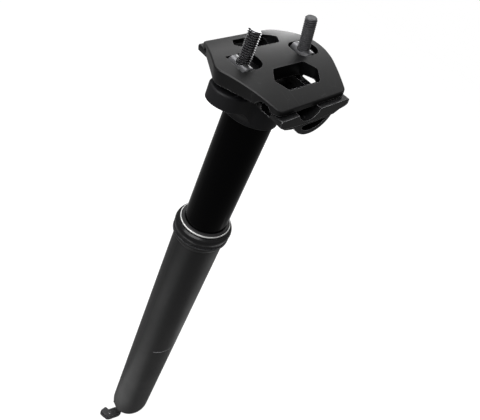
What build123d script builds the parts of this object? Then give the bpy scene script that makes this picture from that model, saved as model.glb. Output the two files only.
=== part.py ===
from build123d import *
import os
from math import atan2, cos, degrees, radians, sin

os.makedirs("parts", exist_ok=True)

# Dropper seatpost at full height, in millimetres. Z runs up the post, X forward and Y to the
# rider's left. Zero is on the axis where the tube starts to flare into its collar.

# Fits shared by every piece
running_fit = 0.05
bond_gap = 0.03
rest_gap = 0.3
overrun = 2.0

# Outer tube, the part that goes into the frame
tube_radius = 15.8
tube_wall = 1.8
tube_edge = 0.5
flare_height = 3.6
flare_radius = 17.7
bead_height = 1.3
spigot_height = 5.1
spigot_radius = 16.2
bore_radius = tube_radius - tube_wall
joint_height = flare_height + bead_height
spigot_top = joint_height + spigot_height

# Collar nut that holds the wiper and the top bushing
nut_height = 7.7
nut_groove_inset = 0.5
nut_bulge_radius = 17.85
nut_shoulder_radius = 17.1
nut_mouth_radius = 15.2
nut_crown_radius = 16.0
nut_groove_share = 0.3
nut_bulge_share = 0.62
nut_shoulder_share = 0.9
nut_lead_share = 0.06
collar_top = joint_height + nut_height

# Wiper seal with its clamping ring
wiper_flange_radius = 15.5
wiper_flange_height = 0.5
wiper_ring_height = 1.0
wiper_ring_radius = 15.6
wiper_ring_depth = 0.75
wiper_lip_height = 0.6
wiper_lip_radius = 15.2
wiper_relief = 0.8
wiper_top = collar_top + wiper_flange_height + wiper_ring_height + wiper_lip_height

# Stanchion, which slides in the tube
travel = 75.0
stanchion_radius = 13.25
stanchion_wall = 1.75
overlap = 125.0
travel_spare = 0.8
stanchion_edge = 0.4
stanchion_bore = stanchion_radius - stanchion_wall
head_rim = wiper_top + travel + travel_spare

# Bushings, foam ring and guide keys
bushing_counterbore = 0.5
top_bushing_length = 31.0
bushing_slit = 1.2
foam_height = 3.2
foam_gap = 0.3
low_bushing_length = 20.0
low_bushing_step = 0.5
end_land = 2.0
key_count = 3
key_width = 3.0
key_length = 12.0
key_foot = 1.05
key_reach = 14.8
key_lift = 3.0
groove_clearance = 0.1

# Gas cartridge and its rod
cartridge_radius = 10.0
cartridge_wall = 1.5
cartridge_head = 8.0
cartridge_stud_radius = 4.0
cartridge_stud_length = 14.0
cartridge_bore = cartridge_radius - cartridge_wall
gland_length = 10.0
buffer_length = 3.5
buffer_radius = 8.2
piston_length = 8.0
rod_radius = 4.5
rod_foot_radius = 4.0
rod_neck_radius = 3.0
rod_tail = 8.5
rod_bore = 1.6
rod_tip_length = 29.8
pin_radius = 1.5
pin_stand_out = 2.5
pin_end_gap = 4.0
pin_edge = 0.3
end_cap_flange = 2.0
end_cap_flange_radius = 13.0
end_cap_thread = 6.0
end_cap_bore = 9.0

# Bottom plug, bumper and remote actuator
plug_height = 30.5
plug_well_inner = 6.5
plug_well_outer = 10.5
plug_well_depth = 14.0
bumper_height = 3.7
bumper_bore = 5.2
bumper_radius = 12.0
bracket_disc_radius = 13.0
bracket_disc = 3.0
bracket_cheek = 2.2
cheek_root = 8.0
cheek_front = 12.0
cheek_drop = 3.5
rod_nut_flats = 11.0
rod_nut_height = 4.0
lever_heading = -56.0
lever_width = 6.4
lever_side_gap = 0.2
lever_pivot_out = 4.6
lever_pivot_drop = 3.1
lever_pin_radius = 1.25
lever_hub_radius = 2.9
lever_pad_radius = 2.0
lever_pad_gap = 0.15
cheek_end_radius = 2.5
socket_out = 9.7
socket_drop = 2.6
socket_radius = 3.05
socket_wall = 1.25
socket_mouth = 2.2
lever_pin_end = 0.7
clip_thickness = 0.6
clip_radius = 2.5
clip_depth = 0.3

# Swing-out arm that stops the cable housing, in level planes seen from above
arm_drop = 12.5
arm_thickness = 5.0
arm_pivot = (9.0, -1.8)
arm_pivot_gap = 0.1
arm_hub_radius = 4.1
arm_shape = [(16.4, -11.3), (21.4, -10.4), (22.2, -8.6), (20.9, -4.6), (18.9, -0.6), (15.0, 1.3)]
arm_notch = [(14.6, -6.0)]
arm_nose = 1.5
arm_chamfer = 1.0
arm_post_radius = 2.4
arm_screw_radius = 1.5
arm_screw_depth = 6.0
arm_screw_head_radius = 2.8
arm_screw_head = 1.6
arm_screw_flats = 2.0
arm_screw_socket = 1.0
housing_place = (16.0, -3.5)
housing_radius = 2.55
housing_depth = 3.6
cable_radius = 1.2

# Head forging
setback = 3.4
clamp_pitch = 16.15
neck_radius = 14.5
neck_edge = 0.5
neck_land = 1.0
skirt_height = 3.0
spigot_length = 33.5
neck_height = 7.5
ear_thickness = 7.5
ear_radius = 10.0
ear_overhang = 1.5
ear_edge = 1.2
ear_throat = 6.0
barrel_radius = 13.2
seat_depth = 4.35
seat_fit = 0.05

# Lower cradle, in the frame of the tilted clamp
cradle_half_width = 32.5
cradle_half_length = 21.0
rail_spacing = 44.0
rail_groove_radius = 3.55
lip_height = 0.6
wing_inner = 15.6
wing_bottom = 6.3
wing_front_bottom = 2.4
wing_front_run = 3.4
wing_front_corner = 5.1
wing_rear_bottom = 2.6
wing_edge = 1.0
trough_radius = 9.4
trough_lip = 1.0
scoop_radius = 7.0
scoop_forward = 4.3
scoop_rise = 3.2
step_depth = 0.5
step_end = 2.6
step_middle = 5.4
crescent_radius = 10.9
crescent_top = 6.7
crescent_end = 6.6
crescent_depth = 9.0

# Top plate, in the frame of the tilted clamp
crown_height = 9.5
plate_tip = 33.2
plate_corner_front = 20.2
plate_corner_rear = 19.8
plate_rear_tip = 30.5
plate_half_width = 29.8
crown_radius = 74.7
plate_centre_thickness = 7.0
plate_rim_thickness = 1.45
plate_tip_fillet = 8.0
plate_rear_fillet = 40.0
plate_corner_fillet = 3.0
plate_edge = 0.7
plate_groove_rise = 1.0
window_tip = 13.0
window_corner = 9.2
window_inner = 8.9
window_outer = 22.0
window_fillet = 2.0
recess_front_x = 17.3
recess_rear_x = -16.8
recess_length = 13.5
recess_width = 13.6
recess_corner = 5.0
boss_width = 17.0
boss_length = 18.0
boss_floor = 0.4
boss_corner = 4.0
floor_slot_width = 7.4
floor_slot_run = 1.2

# Clamp bolts, barrel nuts and half-round washers
bolt_radius = 3.0
bolt_head_radius = 5.0
bolt_head_height = 6.0
bolt_head_edge = 0.5
bolt_socket_flats = 5.0
bolt_socket_depth = 3.2
bolt_tip_chamfer = 0.6
front_bolt_length = 32.2
rear_bolt_length = 44.0
nut_radius = 4.2
nut_length = 12.4
nut_edge = 0.4
nut_bore = 3.3
nut_end_gap = 0.3
nut_x_front = 19.6
nut_x_rear = -17.4
nut_sink = 4.0
swing_rise = 0.5
front_lean = 0.0
washer_radius = 5.5
washer_flat = 2.0
washer_half_width = 4.4
washer_half_length = 5.0
washer_bore = 3.15
pocket_length = 14.0
pocket_width = 10.6
pocket_corner = 2.0
pocket_roof = 4.0
pocket_depth = 4.2
ear_slot_radius = 3.6
ear_slot_run = 1.4

# Places worked out from the sizes above
tube_bottom = -overlap - travel - end_cap_flange - rest_gap - bumper_height - plug_height
stanchion_bottom = -overlap
spring_body_top = head_rim + skirt_height - spigot_length
plug_top = tube_bottom + plug_height
gland_bottom = stanchion_bottom + end_cap_thread
buffer_bottom = gland_bottom + gland_length
piston_bottom = buffer_bottom + buffer_length + rest_gap
rod_bore_top = piston_bottom - rod_tip_length
bracket_bottom = tube_bottom - bracket_disc
rod_bottom = tube_bottom - rod_tail
pin_bottom = rod_bottom - pin_stand_out
lever_pivot = (lever_pivot_out, pin_bottom - lever_pivot_drop)
socket_place = (socket_out, lever_pivot[1] - socket_drop)
arm_top = pin_bottom - arm_drop
arm_bottom = arm_top - arm_thickness
key_bottom = stanchion_bottom + end_land + low_bushing_length + key_lift
groove_reach = key_reach + groove_clearance
ear_bottom = head_rim + neck_height
ear_top = ear_bottom + ear_thickness
seat_height = ear_top - seat_depth + barrel_radius + seat_fit
swing_height = ear_bottom + swing_rise

# The clamp leans forward by its pitch about the axis of its round seat
clamp_axis = Vector(cos(radians(clamp_pitch)), 0, -sin(radians(clamp_pitch)))
clamp_up = Vector(sin(radians(clamp_pitch)), 0, cos(radians(clamp_pitch)))
clamp_centre = Vector(-setback, 0, seat_height)
clamp_side = Plane(origin=clamp_centre, x_dir=clamp_axis, z_dir=(0, -1, 0))
clamp_across = Plane(origin=clamp_centre, x_dir=(0, 1, 0), z_dir=clamp_axis)


def clamp_point(forward, up):
    """A point on the clamp's middle plane, from its seat axis."""
    return clamp_centre + clamp_axis * forward + clamp_up * up


def clamp_level(up):
    """A plane along the rails at a height over the seat axis."""
    return Plane(origin=clamp_point(0, up), x_dir=clamp_axis, z_dir=clamp_up)


def half_chord(radius, height):
    """Half the width of a circle at a height from its centre."""
    return (radius * radius - height * height) ** 0.5


def sagitta(radius, half_width):
    """How far an arc drops from its middle to a place beside it."""
    return radius - half_chord(radius, half_width)


# The two nuts, and the bolt lines through them down to the swing axes in the ears
nut_height_over_seat = crown_height - nut_sink
front_nut_point = clamp_point(nut_x_front, nut_height_over_seat)
rear_nut_point = clamp_point(nut_x_rear, nut_height_over_seat)
front_drop = front_nut_point.Z - swing_height
rear_drop = rear_nut_point.Z - swing_height
front_swing = front_nut_point - Vector(sin(radians(front_lean)), 0, cos(radians(front_lean))) * (
    front_drop / cos(radians(front_lean)))
rear_swing = rear_nut_point - clamp_up * (rear_drop / cos(radians(clamp_pitch)))


def bolt_level(point, direction, height):
    """A plane square to a bolt, at a height up the bolt from a point on it."""
    across = direction.cross(Vector(0, -1, 0))
    return Plane(origin=point + direction * height, x_dir=across, z_dir=direction)


def bolt_side(point, direction):
    """The side view plane of a bolt, with its Y axis up the bolt."""
    across = direction.cross(Vector(0, -1, 0))
    return Plane(origin=point, x_dir=across, z_dir=(0, -1, 0))


front_up = (front_nut_point - front_swing).normalized()
rear_up = (rear_nut_point - rear_swing).normalized()
bolt_lines = [(front_swing, front_up), (rear_swing, rear_up)]

# Outer tube with its flared collar seat, bushing bore and key grooves
with BuildPart() as outer_tube:
    with BuildSketch(Plane.XZ):
        with BuildLine():
            Polyline(
                (bore_radius, tube_bottom),
                (tube_radius - tube_edge, tube_bottom),
                (tube_radius, tube_bottom + tube_edge),
                (tube_radius, 0),
                (flare_radius, flare_height),
                (flare_radius, joint_height),
                (spigot_radius, joint_height),
                (spigot_radius, spigot_top),
                (bore_radius + bushing_counterbore, spigot_top),
                (bore_radius + bushing_counterbore, joint_height - top_bushing_length),
                (bore_radius, joint_height - top_bushing_length),
                close=True,
            )
        make_face()
    revolve(axis=Axis.Z)
    with BuildSketch(Plane.XY.offset(plug_top)):
        with PolarLocations(0, key_count):
            Rectangle(groove_reach, key_width + groove_clearance, align=(Align.MIN, Align.CENTER))
    extrude(amount=key_bottom + key_length + rest_gap - plug_top, mode=Mode.SUBTRACT)
outer_tube.part.label = "outer_tube"

# Collar nut, a ribbed ring with a rounded waist
with BuildPart() as collar_nut:
    groove_radius = flare_radius - nut_groove_inset
    with BuildSketch(Plane.XZ):
        with BuildLine():
            Polyline(
                (flare_radius, joint_height),
                (spigot_radius + bond_gap, joint_height),
                (spigot_radius + bond_gap, spigot_top + bond_gap),
                (nut_mouth_radius, spigot_top + bond_gap),
                (nut_mouth_radius, collar_top),
                (nut_crown_radius, collar_top),
                (nut_shoulder_radius, joint_height + nut_height * nut_shoulder_share),
            )
            Spline(
                (nut_shoulder_radius, joint_height + nut_height * nut_shoulder_share),
                (nut_bulge_radius, joint_height + nut_height * nut_bulge_share),
                (groove_radius, joint_height + nut_height * nut_groove_share),
            )
            Polyline(
                (groove_radius, joint_height + nut_height * nut_groove_share),
                (groove_radius, joint_height + nut_height * nut_lead_share),
                (flare_radius, joint_height + nut_height * nut_lead_share),
                (flare_radius, joint_height),
            )
        make_face()
    revolve(axis=Axis.Z)
collar_nut.part.label = "collar_nut"

# Wiper seal: a rubber ring with a groove outside for its clamping ring
with BuildPart() as wiper_seal:
    seal_bore = stanchion_radius + running_fit
    ring_seat = wiper_ring_radius - wiper_ring_depth
    flange_top = collar_top + wiper_flange_height
    ring_top = flange_top + wiper_ring_height
    with BuildSketch(Plane.XZ):
        with BuildLine():
            Polyline(
                (seal_bore, spigot_top + bond_gap),
                (nut_mouth_radius - bond_gap, spigot_top + bond_gap),
                (nut_mouth_radius - bond_gap, collar_top),
                (wiper_flange_radius, collar_top),
                (wiper_flange_radius, flange_top),
                (ring_seat, flange_top),
                (ring_seat, ring_top),
                (wiper_lip_radius, ring_top),
                (wiper_lip_radius - wiper_lip_height, wiper_top),
                (seal_bore, wiper_top),
                (seal_bore, ring_top),
                (seal_bore + wiper_relief, flange_top),
                (seal_bore + wiper_relief, spigot_top + wiper_relief),
                close=True,
            )
        make_face()
    revolve(axis=Axis.Z)
wiper_seal.part.label = "wiper_seal"

# Bright clamping ring round the wiper
with BuildPart() as wiper_ring:
    with BuildSketch(Plane.XZ):
        with Locations((wiper_ring_radius - wiper_ring_depth / 2, flange_top + wiper_ring_height / 2)):
            RectangleRounded(
                wiper_ring_depth - 2 * bond_gap, wiper_ring_height - 2 * bond_gap,
                wiper_ring_height / 4)
    revolve(axis=Axis.Z)
wiper_ring.part.label = "wiper_ring"

# Foam ring that oils the stanchion, between the wiper and the bushing
with BuildPart() as foam_ring:
    foam_top = spigot_top - bond_gap
    with BuildSketch(Plane.XY.offset(foam_top - foam_height)):
        Circle(bore_radius + bushing_counterbore - bond_gap)
        Circle(stanchion_radius + running_fit, mode=Mode.SUBTRACT)
    extrude(amount=foam_height)
foam_ring.part.label = "foam_ring"

# Top bushing, a split sleeve in the counterbore
with BuildPart() as upper_bushing:
    with BuildSketch(Plane.XY.offset(joint_height - top_bushing_length)):
        Circle(bore_radius + bushing_counterbore - bond_gap)
        Circle(stanchion_radius + running_fit, mode=Mode.SUBTRACT)
        Rectangle(tube_radius, bushing_slit, align=(Align.MIN, Align.CENTER), mode=Mode.SUBTRACT)
    extrude(amount=top_bushing_length + spigot_height - foam_height - foam_gap)
upper_bushing.part.label = "upper_bushing"

# Stanchion with a waist for the lower bushing and pockets for the keys
with BuildPart() as stanchion:
    waist_bottom = stanchion_bottom + end_land
    waist_top = waist_bottom + low_bushing_length
    stanchion_top = head_rim + skirt_height
    with BuildSketch(Plane.XZ):
        with BuildLine():
            Polyline(
                (stanchion_bore, stanchion_bottom),
                (stanchion_radius - stanchion_edge, stanchion_bottom),
                (stanchion_radius, stanchion_bottom + stanchion_edge),
                (stanchion_radius, waist_bottom),
                (stanchion_radius - low_bushing_step, waist_bottom),
                (stanchion_radius - low_bushing_step, waist_top),
                (stanchion_radius, waist_top),
                (stanchion_radius, stanchion_top - stanchion_edge),
                (stanchion_radius - stanchion_edge, stanchion_top),
                (stanchion_bore, stanchion_top),
                close=True,
            )
        make_face()
    revolve(axis=Axis.Z)
    with BuildSketch(Plane.XY.offset(key_bottom)):
        with PolarLocations(stanchion_radius - key_foot, key_count):
            Rectangle(stanchion_wall, key_width, align=(Align.MIN, Align.CENTER))
    extrude(amount=key_length, mode=Mode.SUBTRACT)
stanchion.part.label = "stanchion"

# Lower bushing, split, held in the stanchion's waist
with BuildPart() as lower_bushing:
    with BuildSketch(Plane.XY.offset(waist_bottom + bond_gap)):
        Circle(bore_radius - running_fit)
        Circle(stanchion_radius - low_bushing_step + bond_gap, mode=Mode.SUBTRACT)
        with Locations(Rotation(0, 0, 180 / key_count)):
            Rectangle(tube_radius, bushing_slit, align=(Align.MIN, Align.CENTER), mode=Mode.SUBTRACT)
    extrude(amount=low_bushing_length - 2 * bond_gap)
lower_bushing.part.label = "lower_bushing"

# Three brass keys that stop the stanchion turning
with BuildPart() as guide_keys:
    key_inner = stanchion_radius - key_foot + bond_gap
    with BuildSketch(Plane.XY.offset(key_bottom + bond_gap)):
        with PolarLocations(key_inner, key_count):
            Rectangle(
                key_reach - key_inner, key_width - 2 * bond_gap, align=(Align.MIN, Align.CENTER))
    extrude(amount=key_length - 2 * bond_gap)
    fillet(guide_keys.edges().filter_by(Plane.XY).filter_by(lambda e: e.length < key_width), pin_edge)
guide_keys.part.label = "guide_keys"

# Threaded cap that closes the stanchion and carries the cartridge
with BuildPart() as stanchion_cap:
    with BuildSketch(Plane.XY.offset(stanchion_bottom - end_cap_flange)):
        Circle(end_cap_flange_radius)
        Circle(end_cap_bore, mode=Mode.SUBTRACT)
    extrude(amount=end_cap_flange)
    with BuildSketch(Plane.XY.offset(stanchion_bottom)):
        Circle(stanchion_bore - bond_gap)
        Circle(end_cap_bore, mode=Mode.SUBTRACT)
    extrude(amount=end_cap_thread)
stanchion_cap.part.label = "stanchion_cap"

# Gas cartridge body: a tube with a closed top and a threaded stud into the head
with BuildPart() as cartridge_body:
    with BuildSketch(Plane.XZ):
        with BuildLine():
            Polyline(
                (cartridge_bore, gland_bottom),
                (cartridge_radius, gland_bottom),
                (cartridge_radius, spring_body_top),
                (cartridge_stud_radius, spring_body_top),
                (cartridge_stud_radius, spring_body_top + cartridge_stud_length),
                (0, spring_body_top + cartridge_stud_length),
                (0, spring_body_top - cartridge_head),
                (cartridge_bore, spring_body_top - cartridge_head),
                close=True,
            )
        make_face()
    revolve(axis=Axis.Z)
cartridge_body.part.label = "cartridge_body"

# Rod guide at the cartridge's lower end
with BuildPart() as cartridge_gland:
    with BuildSketch(Plane.XY.offset(gland_bottom)):
        Circle(cartridge_bore - bond_gap)
        Circle(rod_radius + running_fit, mode=Mode.SUBTRACT)
    extrude(amount=gland_length)
cartridge_gland.part.label = "cartridge_gland"

# Rubber buffer that meets the piston at full height
with BuildPart() as top_out_buffer:
    with BuildSketch(Plane.XY.offset(buffer_bottom)):
        Circle(buffer_radius)
        Circle(rod_radius + running_fit, mode=Mode.SUBTRACT)
    extrude(amount=buffer_length)
top_out_buffer.part.label = "top_out_buffer"

# Piston on the neck of the rod
with BuildPart() as cartridge_piston:
    with BuildSketch(Plane.XY.offset(piston_bottom)):
        Circle(cartridge_bore - running_fit)
        Circle(rod_neck_radius + bond_gap, mode=Mode.SUBTRACT)
    extrude(amount=piston_length)
cartridge_piston.part.label = "cartridge_piston"

# Hollow rod that stands on the bottom plug
with BuildPart() as cartridge_rod:
    with BuildSketch(Plane.XZ):
        with BuildLine():
            Polyline(
                (rod_bore, rod_bottom),
                (rod_foot_radius - pin_edge, rod_bottom),
                (rod_foot_radius, rod_bottom + pin_edge),
                (rod_foot_radius, plug_top),
                (rod_radius, plug_top),
                (rod_radius, piston_bottom),
                (rod_neck_radius, piston_bottom),
                (rod_neck_radius, piston_bottom + piston_length),
                (0, piston_bottom + piston_length),
                (0, rod_bore_top),
                (rod_bore, rod_bore_top),
                close=True,
            )
        make_face()
    revolve(axis=Axis.Z)
cartridge_rod.part.label = "cartridge_rod"

# Release pin in the rod, pushed up by the lever
with BuildPart() as release_pin:
    pin_length = rod_bore_top - pin_end_gap - pin_bottom
    with BuildSketch(Plane.XY.offset(pin_bottom)):
        Circle(pin_radius)
    extrude(amount=pin_length)
    chamfer(release_pin.edges(), pin_edge)
release_pin.part.label = "release_pin"

# Bottom plug that closes the tube and holds the rod
with BuildPart() as base_plug:
    with BuildSketch(Plane.XY.offset(tube_bottom)):
        Circle(bore_radius - bond_gap)
        Circle(rod_foot_radius + bond_gap, mode=Mode.SUBTRACT)
    extrude(amount=plug_height)
    with BuildSketch(Plane.XY.offset(plug_top)):
        Circle(plug_well_outer)
        Circle(plug_well_inner, mode=Mode.SUBTRACT)
    extrude(amount=-plug_well_depth, mode=Mode.SUBTRACT)
base_plug.part.label = "base_plug"

# Rubber bumper on the plug, met at the bottom of the travel
with BuildPart() as bottom_bumper:
    with BuildSketch(Plane.XY.offset(plug_top)):
        Circle(bumper_radius)
        Circle(bumper_bore, mode=Mode.SUBTRACT)
    extrude(amount=bumper_height)
bottom_bumper.part.label = "bottom_bumper"

# Actuator bracket under the plug: a disc, two cheeks for the lever and the post for the swinging arm
cheek_inner = lever_width / 2 + lever_side_gap
cheek_outer = cheek_inner + bracket_cheek
lever_forward = Vector(cos(radians(lever_heading)), sin(radians(lever_heading)), 0)
lever_left = Vector(0, 0, 1).cross(lever_forward)
lever_side = Plane(origin=(0, 0, 0), x_dir=lever_forward, z_dir=-lever_left)
with BuildPart() as actuator_bracket:
    for side in (1, -1):
        with BuildSketch(lever_side.offset(side * cheek_inner)):
            with Locations(lever_pivot):
                Circle(cheek_end_radius)
            with Locations((cheek_root, bracket_bottom)):
                Rectangle(cheek_front - cheek_root, cheek_drop, align=(Align.MIN, Align.MAX))
            make_hull()
        extrude(amount=side * bracket_cheek)
    with BuildSketch(Plane.XY.offset(bracket_bottom)):
        with Locations(arm_pivot):
            Circle(arm_post_radius)
    extrude(amount=arm_top + arm_pivot_gap - bracket_bottom)
    with BuildSketch(lever_side.offset(-cheek_outer)):
        with Locations(lever_pivot):
            Circle(lever_pin_radius + bond_gap)
    extrude(amount=2 * cheek_outer, mode=Mode.SUBTRACT)
    with BuildSketch(Plane.XY.offset(arm_top + arm_pivot_gap)):
        with Locations(arm_pivot):
            Circle(arm_screw_radius + bond_gap)
    extrude(amount=arm_screw_depth + rest_gap, mode=Mode.SUBTRACT)
    with BuildSketch(Plane.XY.offset(bracket_bottom)):
        Circle(bracket_disc_radius)
        Circle(rod_foot_radius + bond_gap, mode=Mode.SUBTRACT)
    extrude(amount=bracket_disc)
actuator_bracket.part.label = "actuator_bracket"

# Arm that swings out under the bracket, with the socket for the cable housing
with BuildPart() as stop_arm:
    with BuildSketch(Plane.XY.offset(arm_bottom)):
        with BuildSketch(mode=Mode.PRIVATE) as arm_plan:
            with BuildLine():
                Polyline(arm_pivot, *arm_notch, *arm_shape, arm_pivot)
            make_face()
            fillet(arm_plan.vertices().filter_by(lambda v: v.X > arm_pivot[0] + arm_hub_radius), arm_nose)
        with BuildSketch(mode=Mode.PRIVATE) as arm_root:
            with Locations(arm_pivot):
                Circle(arm_hub_radius)
            with Locations(housing_place):
                Circle(arm_hub_radius)
            make_hull()
        add(arm_plan.sketch)
        add(arm_root.sketch)
        with Locations(arm_pivot):
            Circle(arm_screw_radius + running_fit, mode=Mode.SUBTRACT)
        with Locations(housing_place):
            Circle(cable_radius, mode=Mode.SUBTRACT)
    extrude(amount=arm_thickness)
    with BuildSketch(Plane.XY.offset(arm_bottom)):
        with Locations(housing_place):
            Circle(housing_radius)
    extrude(amount=housing_depth, mode=Mode.SUBTRACT)
    arm_face = stop_arm.faces().sort_by(Axis.Z)[-1]
    chamfer(arm_face.outer_wire().edges(), arm_chamfer)
stop_arm.part.label = "stop_arm"

# Shoulder screw that the arm swings on
with BuildPart() as arm_screw:
    with BuildSketch(Plane.XY.offset(arm_bottom - arm_pivot_gap)):
        with Locations(arm_pivot):
            Circle(arm_screw_head_radius)
    extrude(amount=-arm_screw_head)
    chamfer(arm_screw.faces().sort_by(Axis.Z)[0].edges(), bolt_head_edge)
    with BuildSketch(Plane.XY.offset(arm_bottom - arm_pivot_gap)):
        with Locations(arm_pivot):
            Circle(arm_screw_radius)
    extrude(amount=arm_thickness + 2 * arm_pivot_gap + arm_screw_depth)
    with BuildSketch(Plane.XY.offset(arm_bottom - arm_pivot_gap - arm_screw_head)):
        with Locations(arm_pivot):
            RegularPolygon(arm_screw_flats / 2, 6, major_radius=False)
    extrude(amount=arm_screw_socket, mode=Mode.SUBTRACT)
arm_screw.part.label = "arm_screw"

# Nut on the rod's foot, which clamps the bracket and the plug
with BuildPart() as rod_nut:
    with BuildSketch(Plane.XY.offset(bracket_bottom)):
        RegularPolygon(rod_nut_flats / 2, 6, major_radius=False)
        Circle(rod_foot_radius + bond_gap, mode=Mode.SUBTRACT)
    extrude(amount=-rod_nut_height)
rod_nut.part.label = "rod_nut"

# Lever: an inner pad under the release pin and an outer end with the cable barrel's socket
lever_pad_place = (0, pin_bottom - lever_pad_gap - lever_pad_radius)
with BuildPart() as actuator_lever:
    with BuildSketch(lever_side):
        with BuildSketch(mode=Mode.PRIVATE) as inner_arm:
            with Locations(lever_pad_place):
                Circle(lever_pad_radius)
            with Locations(lever_pivot):
                Circle(lever_hub_radius)
            make_hull()
        with BuildSketch(mode=Mode.PRIVATE) as outer_arm:
            with Locations(lever_pivot):
                Circle(lever_hub_radius)
            with Locations(socket_place):
                Circle(socket_radius + socket_wall)
            make_hull()
        add(inner_arm.sketch)
        add(outer_arm.sketch)
        with Locations(lever_pivot):
            Circle(lever_pin_radius + running_fit, mode=Mode.SUBTRACT)
        with Locations(socket_place):
            Circle(socket_radius, mode=Mode.SUBTRACT)
    extrude(amount=lever_width / 2, both=True)
    with BuildSketch(lever_side):
        with Locations(socket_place):
            Rectangle(socket_mouth, 2 * socket_radius, align=(Align.CENTER, Align.MAX))
    extrude(amount=socket_mouth / 2, both=True, mode=Mode.SUBTRACT)
actuator_lever.part.label = "actuator_lever"

# Lever pin, blind in the near cheek, with a groove and a spring clip outside the far one
clip_start = cheek_outer + bond_gap
pin_half = clip_start + clip_thickness + lever_pin_end
with BuildPart() as lever_pin:
    with BuildSketch(lever_side.offset(-cheek_outer + bond_gap)):
        with Locations(lever_pivot):
            Circle(lever_pin_radius)
    extrude(amount=cheek_outer - bond_gap + pin_half)
    with BuildSketch(lever_side.offset(clip_start)):
        with Locations(lever_pivot):
            Circle(lever_pin_radius)
            Circle(lever_pin_radius - clip_depth, mode=Mode.SUBTRACT)
    extrude(amount=clip_thickness, mode=Mode.SUBTRACT)
lever_pin.part.label = "lever_pin"

with BuildPart() as pin_clip:
    with BuildSketch(lever_side.offset(clip_start + bond_gap)):
        with Locations(lever_pivot):
            Circle(clip_radius)
            Circle(lever_pin_radius - clip_depth + bond_gap, mode=Mode.SUBTRACT)
            Rectangle(
                lever_pin_radius, clip_radius, align=(Align.CENTER, Align.MAX), mode=Mode.SUBTRACT)
    extrude(amount=clip_thickness - 2 * bond_gap)
pin_clip.part.label = "pin_clip"

# Head forging: a neck that flares into two ears, with a round seat between them
front_ear_x = front_swing.X + ear_overhang
rear_ear_x = rear_swing.X
throat_x = half_chord(neck_radius, ear_radius)
with BuildSketch() as head_plan:
    Circle(neck_radius)
    with Locations((front_ear_x, 0), (rear_ear_x, 0)):
        Circle(ear_radius)
    with Locations((front_ear_x, 0)):
        Rectangle(front_ear_x - rear_ear_x, 2 * ear_radius, align=(Align.MAX, Align.CENTER))
    throats = head_plan.vertices().filter_by(lambda v: abs(abs(v.X) - throat_x) < bond_gap)
    fillet(throats, ear_throat)
with BuildPart() as head:
    with BuildSketch(Plane.XZ):
        with BuildLine():
            neck_flare = ear_bottom - head_rim - neck_land
            Polyline(
                (0, ear_bottom),
                (0, head_rim),
                (neck_radius - neck_edge, head_rim),
                (neck_radius, head_rim + neck_edge),
                (neck_radius, head_rim + neck_land),
            )
            JernArc((neck_radius, head_rim + neck_land), (0, 1), neck_flare, -90)
            Line((neck_radius + neck_flare, ear_bottom), (0, ear_bottom))
        make_face()
    revolve(axis=Axis.Z)
    with BuildSketch(Plane.XY.offset(head_rim)):
        add(head_plan.sketch)
    extrude(amount=ear_bottom - head_rim, mode=Mode.INTERSECT)
    with BuildSketch(Plane.XY.offset(ear_bottom)):
        add(head_plan.sketch)
    extrude(amount=ear_top - ear_bottom)
    fillet(head.faces().sort_by(Axis.Z)[-1].edges(), ear_edge)
    with BuildSketch(clamp_side):
        Circle(barrel_radius + seat_fit)
    extrude(amount=neck_radius + overrun, both=True, mode=Mode.SUBTRACT)
    for foot, direction in bolt_lines:
        with BuildSketch(bolt_level(foot, direction, pocket_roof)):
            RectangleRounded(pocket_length, pocket_width, pocket_corner)
        extrude(amount=-pocket_roof - pocket_depth, mode=Mode.SUBTRACT)
        with BuildSketch(bolt_side(foot, direction)):
            Circle(washer_radius + running_fit)
            Rectangle(
                2 * pocket_length, pocket_length, align=(Align.CENTER, Align.MIN),
                mode=Mode.INTERSECT)
        extrude(amount=pocket_width / 2, both=True, mode=Mode.SUBTRACT)
        with BuildSketch(bolt_level(foot, direction, 0)):
            SlotCenterToCenter(ear_slot_run, 2 * ear_slot_radius)
        extrude(amount=ear_radius + overrun, mode=Mode.SUBTRACT)
    with BuildSketch(Plane.XY.offset(head_rim)):
        Circle(stanchion_radius + bond_gap)
    extrude(amount=skirt_height, mode=Mode.SUBTRACT)
    with BuildSketch(Plane.XY.offset(spring_body_top)):
        Circle(stanchion_bore - bond_gap)
    extrude(amount=spigot_length)
    with BuildSketch(Plane.XY.offset(spring_body_top)):
        Circle(cartridge_stud_radius + bond_gap)
    extrude(amount=cartridge_stud_length + rest_gap, mode=Mode.SUBTRACT)
head.part.label = "head"

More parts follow.
